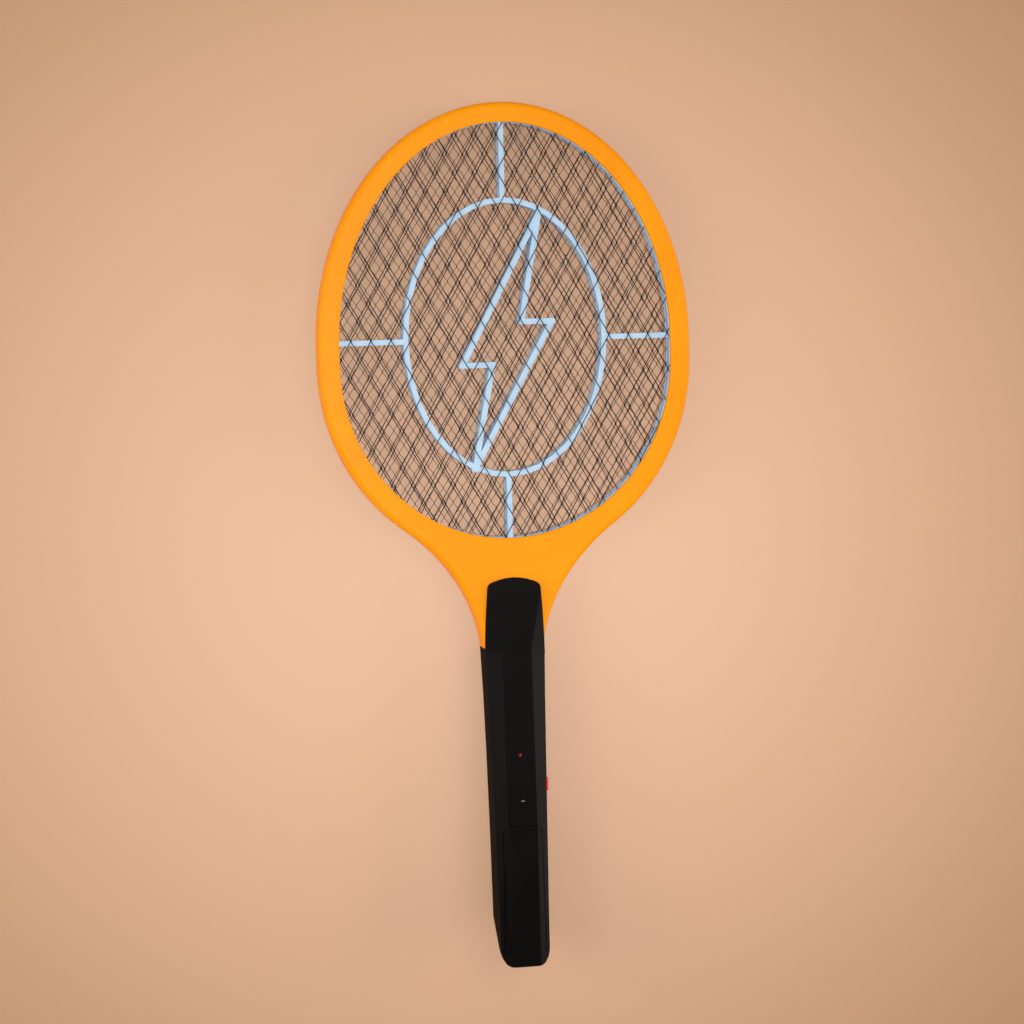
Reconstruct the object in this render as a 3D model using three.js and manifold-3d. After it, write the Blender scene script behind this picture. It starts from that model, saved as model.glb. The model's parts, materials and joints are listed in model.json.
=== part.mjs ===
// Electric fly swatter: a three-layer charged grid in an oval head on an octagonal grip.
// Millimetres. The swatter lies on its back: +Y runs from the grip to the tip of the head,
// +Z is the front face and +X is the side with the push button.
// The origin is under the middle of the whole length.
import * as THREE from 'three';
import { mergeGeometries, mergeVertices } from 'three/addons/utils/BufferGeometryUtils.js';
import Module from 'manifold-3d';

const wasm = await Module();
wasm.setup();

// Head: an oval of two half ellipses joined by a short straight.
const HALF_LENGTH = 232;
const GAP = 0.3; // air between pieces that touch
const OPENING = { halfWidth: 90.1, upper: 116.8, lower: 94.4 };
const OUTSIDE = { halfWidth: 101.1, upper: 127.5, lower: 107.7 };
const UPPER_Y = HALF_LENGTH - OUTSIDE.upper; // centre of the upper half ellipse
const LOWER_Y = UPPER_Y - 10.7;
const HEAD_DEPTH = 18;
const HEAD_MID = HEAD_DEPTH / 2;
const HEAD_WALL = 2.2;
const LIP = 2.3;
const EDGE_ROUND = 3;
const ARC_STEPS = { half: 26, oval: 40, lower: 8, flare: 7 };

// Throat: the two concave flares from the head down to the neck.
const NECK = { halfWidth: 16.3, y: -60 };
const FLARE_ANGLE = 0.97; // where the flare leaves the lower ellipse, in radians
const FLARE_PULL = { head: 22, neck: 30 };

// Layers in the head, as distances from its middle plane.
const POCKET = 2.5; // room round the opening for the spacers and grids
const RIB_OUT = 4; // outer face of the rib that holds them
const SPACER = { from: 0.7, to: 5.3, outside: 2.2, strip: 2.8, boltStrip: 3 };
const GRID_THICKNESS = 0.8;
const OUTER_GRID_AT = 6;
const GRID_REACH = 2.2; // how far a grid goes in under the lip
const COARSE = { width: 26.5, height: 49.5, strand: 1.8, border: 2 };
const FINE = { width: 25.5, height: 39.5, strand: 1.6, border: 2 };
const TAB_X = { front: -6.4, centre: 0, rear: 6.4 };

// Pattern of the spacers: an oval round a lightning bolt, held by four spokes.
const PATTERN = { y: 106.8, halfWidth: 54.1, halfHeight: 73.4, spokeY: 105.9 };
const BOLT = [[19.6, 173], [9, 115.2], [25.6, 115.1], [-18.2, 36.9], [-7.4, 92.4], [-23.8, 92.4]];

// Grip stations: y, half width, height of the front flat, half width of that flat,
// drop of the front chamfer, and size of the rear chamfer.
const GRIP = [
  { y: -60.3, half: 16.3, top: 24, flat: 8, drop: 5, rear: 3 },
  { y: -85, half: 15.6, top: 25.6, flat: 8, drop: 4.8, rear: 5 },
  { y: -120, half: 14.9, top: 27.4, flat: 8, drop: 4.4, rear: 6.5 },
  { y: -158, half: 14.2, top: 29.2, flat: 8, drop: 3.8, rear: 7 },
  { y: -205, half: 13.5, top: 30.8, flat: 7.9, drop: 3.2, rear: 7 },
  { y: -HALF_LENGTH, half: 13.3, top: 31.5, flat: 7.8, drop: 3, rear: 7 },
];
const GRIP_WALL = 2;
const GRIP_PARTING = 12;
const END_CORNER = 6.8; // plan radius of the two corners at the end of the grip
const END_SLOPE = { y: -202, angle: Math.atan2(24, 23) }; // the end leans in towards the back
const TONGUE = { bottom: HEAD_DEPTH + GAP, tip: -21.9, corner: -27.4, half: 14.3, tipTop: 21.2 };
const SPIGOT = { half: 10.5, end: -78, bottom: 2.6, top: 17.6, channel: 8, channelDepth: 4 };

// Battery bay and door.
const DOOR = { top: -155.7, half: 10.4, endHalf: 11.6, corner: 5, thickness: 1.7, lowest: 20 };
const CELL = { radius: 5.25, body: 43.5, nub: 1, nubRadius: 1.9, x: 5.45, z: 21.2 };
const BAY = { top: -155.5, end: -205.9, wall: 1.8, floor: 13.6, floorTop: 15.2, wallTop: 25.5 };
const SPRING = { wide: 3.6, narrow: 2.3, wire: 0.35, turns: 3.5, length: 3.6 };
const CONTACT = 0.4;

// Circuit, switch and lamp.
const BOARD = { half: 9.5, from: -146, to: -84, bottom: 10.5, top: 12.1 };
const SEAT = BOARD.top + GAP; // underside of what stands on the board
const TRANSFORMER = {
  width: 13, length: 12, height: 10, y: -96, leg: 4.4, window: { width: 10.2, length: 8 },
};
const LAMP = { y: -117.2, radius: 0.85, flange: 1.6, proud: 0.3 };
const BUTTON = { y: -135, z: 17, length: 7.4, height: 6.2, proud: 1.8, flange: 1.2 };
const SWITCH = { x: 2.6, width: 5, length: 6, height: 5.6 };

// Screws.
const SCREW = { head: 2.1, headHeight: 1.6, shank: 1.1, sunk: 1 };
const RING_SCREW_ANGLES = [20, 62, 118, 160, 212, 328];
const THROAT_SCREWS = [[-24, -14], [24, -14]];
const GRIP_SCREWS = [
  { y: -69, tip: 20.5 }, { y: -150.4, tip: 19 }, { y: -181, tip: 14.6 },
];

const COLOURS = {
  orange: { color: 0xff9a14, roughness: 0.38, metalness: 0 },
  blue: { color: 0xa9d6f2, roughness: 0.42, metalness: 0 },
  black: { color: 0x161414, roughness: 0.45, metalness: 0 },
  red: { color: 0xc41c12, roughness: 0.35, metalness: 0 },
  steel: { color: 0x6c6a6c, roughness: 0.35, metalness: 0.9 },
  nickel: { color: 0xb8b8ba, roughness: 0.3, metalness: 1 },
  board: { color: 0x2f6b38, roughness: 0.5, metalness: 0 },
  ferrite: { color: 0x303134, roughness: 0.6, metalness: 0.2 },
  copper: { color: 0xb06a34, roughness: 0.35, metalness: 0.8 },
  green: { color: 0x3f7d44, roughness: 0.4, metalness: 0 },
  beige: { color: 0xcdb387, roughness: 0.5, metalness: 0 },
};

const swatter = new THREE.Group();

// ---- joining and cutting ----

function solid(geometry) {
  const bare = geometry.clone();
  bare.deleteAttribute('normal');
  bare.deleteAttribute('uv');
  const merged = mergeVertices(bare, 1e-4);
  const vertProperties = new Float32Array(merged.attributes.position.array);
  const triVerts = new Uint32Array(merged.index.array);
  return new wasm.Manifold(new wasm.Mesh({ numProp: 3, vertProperties, triVerts }));
}

function geometryOf(body) {
  const { vertProperties, triVerts } = body.getMesh();
  const geometry = new THREE.BufferGeometry();
  geometry.setAttribute('position', new THREE.BufferAttribute(vertProperties, 3));
  geometry.setIndex(new THREE.BufferAttribute(triVerts, 1));
  return geometry;
}

function join(...bodies) {
  return bodies.reduce((whole, body) => whole.add(body));
}

function cut(body, ...tools) {
  return tools.reduce((rest, tool) => rest.subtract(tool), body);
}

function piece(name, shape, look) {
  const geometry = shape.isBufferGeometry ? shape : geometryOf(shape);
  const mesh = new THREE.Mesh(geometry, new THREE.MeshStandardMaterial(COLOURS[look]));
  mesh.name = name;
  swatter.add(mesh);
  return mesh;
}

// ---- plain shapes ----

function boxShape(x, y, z) {
  const geometry = new THREE.BoxGeometry(x[1] - x[0], y[1] - y[0], z[1] - z[0]);
  return geometry.translate((x[0] + x[1]) / 2, (y[0] + y[1]) / 2, (z[0] + z[1]) / 2);
}

function box(x, y, z) {
  return solid(boxShape(x, y, z));
}

function prismShape(points, z, holes = []) {
  const shape = new THREE.Shape(points);
  shape.holes = holes.map((hole) => new THREE.Path(hole));
  const [from, to] = [Math.min(...z), Math.max(...z)];
  const geometry = new THREE.ExtrudeGeometry(shape, { depth: to - from, bevelEnabled: false });
  return geometry.translate(0, 0, from);
}

function prism(points, z, holes) {
  return solid(prismShape(points, z, holes));
}

function rodShape(radius, x, y, z, sides = 20) {
  const geometry = new THREE.CylinderGeometry(radius, radius, Math.abs(z[1] - z[0]), sides);
  return geometry.rotateX(Math.PI / 2).translate(x, y, (z[0] + z[1]) / 2);
}

function rod(radius, x, y, z, sides) {
  return solid(rodShape(radius, x, y, z, sides));
}

function lathe(profile, sides = 20) {
  const points = profile.map(([r, h]) => new THREE.Vector2(r, h));
  return new THREE.LatheGeometry(points, sides).rotateX(Math.PI / 2); // turned about +Z
}

function tube(points, radius, steps, sides = 6) {
  const path = new THREE.CatmullRomCurve3(points.map((p) => new THREE.Vector3(...p)));
  return sweep(path, radius, steps, sides);
}

function sweep(path, radius, steps, sides) {
  const section = new THREE.Shape(circle(radius, sides));
  return new THREE.ExtrudeGeometry(section, { steps, extrudePath: path });
}

function circle(radius, sides) {
  return Array.from({ length: sides }, (_, i) => {
    const angle = (i / sides) * 2 * Math.PI;
    return new THREE.Vector2(radius * Math.cos(angle), radius * Math.sin(angle));
  });
}

// A closed skin through equal rings of points, with flat convex ends.
function loft(rings) {
  const count = rings[0].length;
  const index = [];
  for (let r = 0; r + 1 < rings.length; r += 1) {
    for (let i = 0; i < count; i += 1) {
      const a = r * count + i;
      const b = r * count + ((i + 1) % count);
      index.push(a, b, b + count, a, b + count, a + count);
    }
  }
  const last = (rings.length - 1) * count;
  for (let i = 1; i + 1 < count; i += 1) {
    index.push(0, i + 1, i, last, last + i, last + i + 1);
  }
  const geometry = new THREE.BufferGeometry().setFromPoints(rings.flat());
  geometry.setIndex(index);
  return geometry;
}

// ---- outlines in plan ----

// Moves each point of a counter-clockwise outline inwards.
function inset(points, distance) {
  const count = points.length;
  return points.map((point, i) => {
    const into = point.clone().sub(points[(i + count - 1) % count]).normalize();
    const out = points[(i + 1) % count].clone().sub(point).normalize();
    const normal = new THREE.Vector2(-into.y - out.y, into.x + out.x).normalize();
    const stretch = Math.min(2, 1 / normal.dot(new THREE.Vector2(-into.y, into.x)));
    return point.clone().addScaledVector(normal, distance * stretch);
  });
}

// Leaves out a point that repeats the one before it, or the first.
function distinct(points) {
  return points.filter((point, i) => {
    const before = i === 0 ? points.at(-1) : points[i - 1];
    return point.distanceTo(before) > 1e-6;
  });
}

function pointsOf(path, steps) {
  return distinct(path.getPoints(steps));
}

function upperArc(size) {
  const curve = new THREE.EllipseCurve(0, UPPER_Y, size.halfWidth, size.upper, 0, Math.PI);
  return curve.getPoints(ARC_STEPS.half);
}

function lowerArc(size, from, to, steps) {
  return new THREE.EllipseCurve(0, LOWER_Y, size.halfWidth, size.lower, from, to).getPoints(steps);
}

function opening(grow = 0) {
  const lower = lowerArc(OPENING, Math.PI, 2 * Math.PI, ARC_STEPS.half);
  return inset(distinct([...upperArc(OPENING), ...lower]), -grow);
}

function flareStart() {
  const x = OUTSIDE.halfWidth * Math.cos(FLARE_ANGLE);
  const y = LOWER_Y - OUTSIDE.lower * Math.sin(FLARE_ANGLE);
  const along = new THREE.Vector2(
    OUTSIDE.halfWidth * Math.sin(FLARE_ANGLE), OUTSIDE.lower * Math.cos(FLARE_ANGLE));
  return { x, y, along: along.normalize() };
}

// The right flare, from the neck up to the head.
function flare() {
  const { x, y, along } = flareStart();
  const curve = new THREE.CubicBezierCurve(
    new THREE.Vector2(NECK.halfWidth, NECK.y),
    new THREE.Vector2(NECK.halfWidth + 0.12 * FLARE_PULL.neck, NECK.y + FLARE_PULL.neck),
    new THREE.Vector2(x, y).addScaledVector(along, -FLARE_PULL.head),
    new THREE.Vector2(x, y),
  );
  return curve.getPoints(ARC_STEPS.flare);
}

// The head and throat as one outline that runs on a little below the neck.
function headOutline() {
  const right = [
    new THREE.Vector2(NECK.halfWidth, NECK.y - 5), ...flare(),
    ...lowerArc(OUTSIDE, -FLARE_ANGLE, 0, ARC_STEPS.lower),
  ];
  const left = right.map((point) => new THREE.Vector2(-point.x, point.y)).reverse();
  return distinct([...right, ...upperArc(OUTSIDE), ...left]);
}

// ---- screws ----

function channelPoint(degrees) {
  const angle = THREE.MathUtils.degToRad(degrees);
  const middle = (OUTSIDE.halfWidth - HEAD_WALL + OPENING.halfWidth + RIB_OUT) / 2;
  const grow = middle - OPENING.halfWidth;
  const upper = Math.sin(angle) > 0;
  const height = (upper ? OPENING.upper : OPENING.lower) + grow;
  return [middle * Math.cos(angle), (upper ? UPPER_Y : LOWER_Y) + height * Math.sin(angle)];
}

const headScrews = [...RING_SCREW_ANGLES.map(channelPoint), ...THROAT_SCREWS];

function screw(x, y, tip) {
  const { head, headHeight, shank, sunk } = SCREW;
  const profile = [
    [0, 0], [head * 0.75, 0], [head, 0.5], [head, headHeight],
    [shank, headHeight], [shank, tip - sunk - 1.2], [0, tip - sunk],
  ];
  return lathe(profile, 10).translate(x, y, sunk);
}

// ---- head ----

// Height in the head at a distance from its middle plane; side is 1 in front, -1 behind.
function level(side, distance) {
  return HEAD_MID + side * distance;
}

function roundedSlab(outline) {
  const shape = new THREE.Shape(inset(outline, EDGE_ROUND));
  const geometry = new THREE.ExtrudeGeometry(shape, {
    depth: HEAD_DEPTH - 2 * EDGE_ROUND, bevelEnabled: true, bevelThickness: EDGE_ROUND,
    bevelSize: EDGE_ROUND, bevelSegments: 2,
  });
  return solid(geometry.translate(0, 0, EDGE_ROUND));
}

// The spigot below the neck, and its root between the side walls of the throat.
function spigot(side) {
  const outer = side > 0 ? SPIGOT.top : SPIGOT.bottom;
  const tail = [level(side, GAP / 2), outer].sort((a, b) => a - b);
  const root = [level(side, GAP / 2), level(side, HEAD_MID - 1)].sort((a, b) => a - b);
  const across = [-SPIGOT.half, SPIGOT.half];
  return join(
    box(across, [SPIGOT.end, NECK.y + 3], tail),
    box(across, [NECK.y, NECK.y + 6], root),
  );
}

function screwBosses(side) {
  const z = [level(side, GAP / 2), level(side, HEAD_MID - LIP / 2)];
  return headScrews.map(([x, y]) => rod(2.6, x, y, z, 10));
}

function screwHoles(side) {
  const depth = side > 0 ? [0, 15.2] : [-1, HEAD_MID];
  const holes = headScrews.map(([x, y]) => rod(SCREW.shank + GAP, x, y, depth, 8));
  if (side < 0) {
    const sink = [-1, SCREW.sunk + SCREW.headHeight + GAP];
    holes.push(...headScrews.map(([x, y]) => rod(SCREW.head + GAP, x, y, sink, 10)));
  }
  return holes;
}

function leadChannel() {
  const z = [level(-1, SPIGOT.channelDepth), level(1, SPIGOT.channelDepth)];
  const notch = [level(-1, HEAD_MID - LIP - GAP), level(1, HEAD_MID - LIP - GAP)];
  return [
    box([-SPIGOT.channel, SPIGOT.channel], [SPIGOT.end - 1, NECK.y + 12], z),
    box([-9, 9], [-12, 6], notch),
  ];
}

function frame(side) {
  const outline = headOutline();
  const inner = level(side, HEAD_MID - LIP);
  const middle = level(side, 0);
  const hollow = prism(inset(outline, HEAD_WALL), [middle, inner], [opening(RIB_OUT)]);
  const shell = cut(
    sideOf(roundedSlab(outline), side, [NECK.y, 250]),
    hollow,
    prism(opening(), [-1, HEAD_DEPTH + 1]),
    prism(opening(POCKET), [middle, inner]),
  );
  const bosses = screwBosses(side);
  const pin = rod(SCREW.shank + 2 * GAP, 0, GRIP_SCREWS[0].y, [-1, HEAD_DEPTH + 1], 12);
  return cut(join(shell, spigot(side), ...bosses), pin, ...screwHoles(side), ...leadChannel());
}

// The part of a body that lies in front of or behind the head's middle plane.
function sideOf(body, side, y) {
  const z = [level(side, GAP / 2), level(side, HEAD_DEPTH)].sort((a, b) => a - b);
  return body.intersect(box([-150, 150], y, z));
}

function grid(at, mesh, tabX) {
  const z = [at - GRID_THICKNESS / 2, at + GRID_THICKNESS / 2];
  const plate = prism(opening(GRID_REACH), z);
  const tab = box([tabX - 1.5, tabX + 1.5], [-9, 2], z);
  const inside = prism(opening(GRID_REACH - mesh.border), [z[0] - 1, z[1] + 1]);
  const holes = solid(mergeGeometries(diamonds(mesh, z)));
  return join(cut(plate, holes.intersect(inside)), tab);
}

// Diamond holes in staggered rows over the whole opening.
function diamonds(mesh, z) {
  const { width, height, strand } = mesh;
  const pitch = (width * height) / Math.hypot(width, height);
  const shrink = 1 - strand / pitch;
  const holes = [];
  for (let row = -8; row <= 24; row += 1) {
    const y = (row * height) / 2;
    const start = row % 2 === 0 ? 0 : width / 2;
    for (let column = -7; column <= 7; column += 1) {
      const x = start + column * width;
      holes.push(diamond(x, y, (shrink * width) / 2, (shrink * height) / 2, z));
    }
  }
  return holes;
}

function diamond(x, y, halfWidth, halfHeight, z) {
  const points = [[halfWidth, 0], [0, halfHeight], [-halfWidth, 0], [0, -halfHeight]];
  const corners = points.map(([dx, dy]) => new THREE.Vector2(x + dx, y + dy));
  return prismShape(corners, [z[0] - 1, z[1] + 1]);
}

function band(points, width, z) {
  return prism(inset(points, -width / 2), z, [inset(points, width / 2)]);
}

function ovalOfPattern() {
  const path = new THREE.Path();
  const { y, halfWidth, halfHeight } = PATTERN;
  path.absellipse(0, y, halfWidth, halfHeight, 0, 2 * Math.PI, false);
  return pointsOf(path, ARC_STEPS.oval / 2);
}

function spacer(side) {
  const z = [level(side, SPACER.from), level(side, SPACER.to)];
  const w = SPACER.strip / 2;
  const { y, halfWidth, halfHeight, spokeY } = PATTERN;
  const across = [spokeY - w, spokeY + w];
  const zs = [...z].sort((a, b) => a - b);
  const corners = BOLT.map(([px, py]) => new THREE.Vector2(px, py));
  const bolt = corners.map((corner, i) => strip(corner, corners[(i + 1) % corners.length], z));
  const top = UPPER_Y + OPENING.upper + 1;
  const bottom = LOWER_Y - OPENING.lower - 1;
  const reach = OPENING.halfWidth + 1;
  return join(
    prism(opening(SPACER.outside), z, [opening()]),
    band(ovalOfPattern(), SPACER.strip, z), ...bolt,
    box([-w, w], [y + halfHeight, top], zs),
    box([-w, w], [bottom, y - halfHeight], zs),
    box([-reach, -halfWidth], across, zs),
    box([halfWidth, reach], across, zs),
  );
}

// A straight strip of the bolt, run on past its ends to fill the corners.
function strip(from, to, z) {
  const along = to.clone().sub(from).normalize();
  const half = SPACER.boltStrip / 2;
  const across = new THREE.Vector2(-along.y, along.x).multiplyScalar(half);
  const start = from.clone().addScaledVector(along, -half);
  const end = to.clone().addScaledVector(along, half);
  const corners = [
    start.clone().sub(across), end.clone().sub(across), end.add(across), start.add(across),
  ];
  return prism(corners, z);
}

// ---- grip ----

function gripSection({ y, half, top, flat, drop, rear }, wall) {
  const outline = [
    [half - rear, 0], [half, rear], [half, top - drop], [flat, top],
    [-flat, top], [-half, top - drop], [-half, rear], [rear - half, 0],
  ].map(([x, z]) => new THREE.Vector2(x, z));
  return inset(outline, wall).map((p) => new THREE.Vector3(p.x, y, p.y));
}

function endOutline(wall) {
  const side = 30;
  const end = -HALF_LENGTH + wall;
  const half = GRIP.at(-1).half - wall;
  const path = new THREE.Path();
  path.moveTo(half + 0.2, end + END_CORNER * 1.6);
  path.lineTo(side, end + END_CORNER * 5);
  path.lineTo(side, 0);
  path.lineTo(-side, 0);
  path.lineTo(-side, end + END_CORNER * 5);
  path.lineTo(-half - 0.2, end + END_CORNER * 1.6);
  path.quadraticCurveTo(-half, end, -half + END_CORNER, end);
  path.lineTo(half - END_CORNER, end);
  path.quadraticCurveTo(half, end, half + 0.2, end + END_CORNER * 1.6);
  return pointsOf(path, 6);
}

// The whole grip inside a wall of the given thickness.
function gripBody(wall) {
  const stations = GRIP.map((station) => gripSection(station, wall));
  if (wall > 0) {
    stations.unshift(gripSection({ ...GRIP[0], y: NECK.y + 5 }, wall));
  }
  const slope = boxShape([-40, 40], [-60, 0], [-40, 60]);
  slope.rotateX(Math.PI / 2 - END_SLOPE.angle).translate(0, END_SLOPE.y + wall, 0);
  return cut(
    solid(loft(stations)).intersect(prism(endOutline(wall), [-1, 40])),
    solid(slope),
  );
}

function tongueOutline() {
  const { tip, corner, half } = TONGUE;
  const base = NECK.halfWidth + 0.1;
  const shoulder = [half - 2.8, corner + 3.2];
  const path = new THREE.Path();
  path.moveTo(base, NECK.y - 4);
  path.bezierCurveTo(base - 0.2, -50, half + 0.9, -38, half, corner);
  path.quadraticCurveTo(half - 0.4, corner + 2.5, shoulder[0], shoulder[1]);
  path.quadraticCurveTo(0, 2 * tip - shoulder[1], -shoulder[0], shoulder[1]);
  path.quadraticCurveTo(-half + 0.4, corner + 2.5, -half, corner);
  path.bezierCurveTo(-half - 0.9, -38, -base + 0.2, -50, -base, NECK.y - 4);
  return pointsOf(path, 6);
}

// The tongue that laps over the throat: its chamfers start at nothing near the tip.
function tongue() {
  const { top, flat, drop, half } = GRIP[0];
  const side = half + 1;
  const { bottom, corner, tip, tipTop } = TONGUE;
  const section = (y, z, f, edge) => [
    [side, bottom], [side, edge], [f, z], [-f, z], [-side, edge], [-side, bottom],
  ].map(([x, height]) => new THREE.Vector3(x, y, height));
  const body = loft([
    section(tip + 2, tipTop, side - 1.2, tipTop - 0.4),
    section(corner, tipTop + 0.8, TONGUE.half, tipTop - 0.6),
    section(NECK.y, top, flat, top - drop - 0.5),
    section(NECK.y - 4, top + 0.25, flat, top - drop - 0.25),
  ]);
  return solid(body).intersect(prism(tongueOutline(), [bottom - 1, 40]));
}

function doorOutline(grow) {
  const { top, half, endHalf, corner } = DOOR;
  const end = -HALF_LENGTH - 5;
  const path = new THREE.Path();
  path.moveTo(endHalf, end);
  path.lineTo(half, top - corner);
  path.quadraticCurveTo(half, top, half - corner, top);
  path.lineTo(corner - half, top);
  path.quadraticCurveTo(-half, top, -half, top - corner);
  path.lineTo(-endHalf, end);
  return inset(pointsOf(path, 6), -grow);
}

function bayWalls() {
  const { top, end, wall, floor, floorTop, wallTop } = BAY;
  const wide = [-20, 20];
  const walls = join(
    box(wide, [end - wall, top + wall], [floor, floorTop]),
    box(wide, [top, top + wall], [floor, wallTop]),
    box(wide, [end - wall, end], [floor, wallTop]),
  );
  return walls.intersect(gripBody(GRIP_WALL / 2));
}

function frontBosses() {
  const bosses = GRIP_SCREWS.map(({ y }, i) => {
    const from = i === 0 ? SPIGOT.top + GAP : GRIP_PARTING + GAP / 2;
    return rod(3, 0, y, [from, 40], 16);
  });
  const low = bosses.pop().intersect(box([-5, 5], [-190, -170], [0, BAY.floor + 0.5]));
  return join(...bosses, low).intersect(gripBody(GRIP_WALL / 2));
}

function wireNotches() {
  const { top, wall, floorTop } = BAY;
  const y = [top - 1, top + wall + 1];
  return [-8.6, 8.6].map((x) => box([x - 1.2, x + 1.2], y, [floorTop + 0.4, floorTop + 3.4]));
}

function buttonHole() {
  const y = [BUTTON.y - BUTTON.length / 2 - GAP, BUTTON.y + BUTTON.length / 2 + GAP];
  const z = [BUTTON.z - BUTTON.height / 2 - GAP, BUTTON.z + BUTTON.height / 2 + GAP];
  return box([8, 30], y, z);
}

function handleFront() {
  const above = box([-40, 40], [-260, NECK.y - GAP], [GRIP_PARTING + GAP / 2, 60]);
  const shell = cut(gripBody(0), gripBody(GRIP_WALL)).intersect(above);
  const doorway = prism(doorOutline(GAP), [DOOR.lowest - GAP, 60]);
  const holes = GRIP_SCREWS.map(({ y, tip }) =>
    rod(SCREW.shank + GAP, 0, y, [0, tip + GAP], 12));
  return cut(
    join(cut(shell, doorway), tongue(), frontBosses(), bayWalls()),
    rod(LAMP.radius + GAP, 0, LAMP.y, [20, 40], 16),
    buttonHole(), ...wireNotches(), ...holes,
  );
}

function handleRear() {
  const below = box([-40, 40], [-260, NECK.y - GAP], [-1, GRIP_PARTING - GAP / 2]);
  const ribs = [-92, -140].map((y) =>
    box([-20, 20], [y - 0.8, y + 0.8], [1, BOARD.bottom - GAP]));
  const bosses = GRIP_SCREWS.slice(1).map(({ y }) =>
    rod(3.4, 0, y, [0.5, GRIP_PARTING - GAP / 2], 16));
  const shell = cut(gripBody(0), gripBody(GRIP_WALL)).intersect(below);
  const inside = join(...ribs, ...bosses).intersect(gripBody(GRIP_WALL / 2));
  const holes = GRIP_SCREWS.flatMap(({ y }) => [
    rod(SCREW.shank + GAP, 0, y, [-1, 20], 12),
    rod(SCREW.head + GAP, 0, y, [-1, SCREW.sunk + SCREW.headHeight + GAP], 16),
  ]);
  return cut(join(shell, inside, screwSeat()), ...holes);
}

// A thickening round the head of the screw that goes through the spigot.
function screwSeat() {
  return rod(4.5, 0, GRIP_SCREWS[0].y, [0.5, SPIGOT.bottom - GAP], 20);
}

function batteryDoor() {
  const skin = cut(gripBody(0), gripBody(DOOR.thickness));
  return skin.intersect(prism(doorOutline(0), [DOOR.lowest, 60]));
}

// ---- batteries and their contacts ----

// A cell with its raised end up the grip when up is 1, down the grip when it is -1.
function cell(x, nubEnd, up) {
  const { radius, body, nub, nubRadius } = CELL;
  const profile = [
    [0, 0], [radius - 0.5, 0], [radius, 0.5], [radius, body - 0.5], [radius - 0.5, body],
    [nubRadius, body], [nubRadius, body + nub], [0, body + nub],
  ];
  const geometry = lathe(profile, 16).rotateX(-Math.PI / 2);
  if (up < 0) geometry.rotateZ(Math.PI);
  return geometry.translate(x, nubEnd - up * (body + nub), CELL.z);
}

class ConeSpring extends THREE.Curve {
  getPoint(t, target = new THREE.Vector3()) {
    const angle = t * SPRING.turns * 2 * Math.PI;
    const radius = THREE.MathUtils.lerp(SPRING.wide, SPRING.narrow, t);
    const reach = SPRING.length - 2 * SPRING.wire;
    return target.set(
      radius * Math.cos(angle), SPRING.wire + reach * t, radius * Math.sin(angle));
  }
}

// A spring from a contact plate towards a cell; along is 1 up the grip, -1 down it.
function coneSpring(x, base, along) {
  const geometry = sweep(new ConeSpring(), SPRING.wire, 30, 5);
  if (along < 0) geometry.rotateZ(Math.PI);
  return geometry.translate(x, base, CELL.z);
}

function contactPlates() {
  const z = [CELL.z - 4.2, CELL.z + 4.2];
  const top = BAY.top - GAP;
  const end = BAY.end + GAP;
  piece('contact_plate_positive', boxShape([-9.4, -1.6], [top - CONTACT, top], z), 'nickel');
  piece('contact_plate_negative', boxShape([1.6, 9.4], [top - CONTACT, top], z), 'nickel');
  piece('contact_plate_bridge', boxShape([-9.6, 9.6], [end, end + CONTACT], z), 'nickel');
}

function batteries() {
  const topFace = BAY.top - 2 * GAP - CONTACT;
  const endFace = BAY.end + 2 * GAP + CONTACT;
  piece('battery_cell_1', cell(-CELL.x, topFace, 1), 'green');
  piece('battery_cell_2', cell(CELL.x, endFace, -1), 'green');
  piece('contact_spring_negative', coneSpring(CELL.x, topFace, -1), 'nickel');
  piece('contact_spring_bridge', coneSpring(-CELL.x, endFace, 1), 'nickel');
}

// ---- circuit ----

// A core with one leg along its middle, and the winding round that leg.
function transformer() {
  const { width, length, height, y, leg, window } = TRANSFORMER;
  const frame = boxShape(span(0, width), span(y, length), [SEAT, SEAT + height]);
  const through = box(span(0, window.width), span(y, window.length), [SEAT - 1, SEAT + height + 1]);
  const middle = SEAT + height / 2;
  const bar = box(span(0, leg), span(y, window.length + 2), span(middle, leg));
  const coil = cut(
    box(span(0, window.width - 2 * GAP), span(y, window.length - 2 * GAP),
      span(middle, height - 2 * GAP)),
    box(span(0, leg + 2 * GAP), span(y, length), span(middle, leg + 2 * GAP)),
  );
  return { core: join(cut(solid(frame), through), bar), coil };
}

// A part with a leg at each end that stands on the board; it lies along X.
function axialPart(x, y, radius, length) {
  const body = new THREE.CylinderGeometry(radius, radius, length, 14).rotateZ(Math.PI / 2);
  const z = SEAT + radius + 0.4;
  const reach = length / 2 + 1;
  const legs = [-1, 1].map((side) => join(
    box(span(x + side * reach, 0.6), [y - 0.3, y + 0.3], [SEAT, z + 0.3]),
    box(span(x + side * (length / 2 + 0.3), 1.8), [y - 0.3, y + 0.3], [z - 0.3, z + 0.3]),
  ));
  return join(solid(body.translate(x, y, z)), ...legs);
}

function span(middle, width) {
  return [middle - width / 2, middle + width / 2];
}

function transistor(x, y) {
  const can = cut(rod(2.3, x, y, [SEAT + 2.5, SEAT + 7], 18),
    box([x - 3, x + 3], [y + 1, y + 4], [SEAT, SEAT + 9]));
  const legs = [-1.27, 0, 1.27].map((dx) =>
    box(span(x + dx, 0.5), span(y, 0.5), [SEAT, SEAT + 3]));
  return join(can, ...legs);
}

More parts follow.
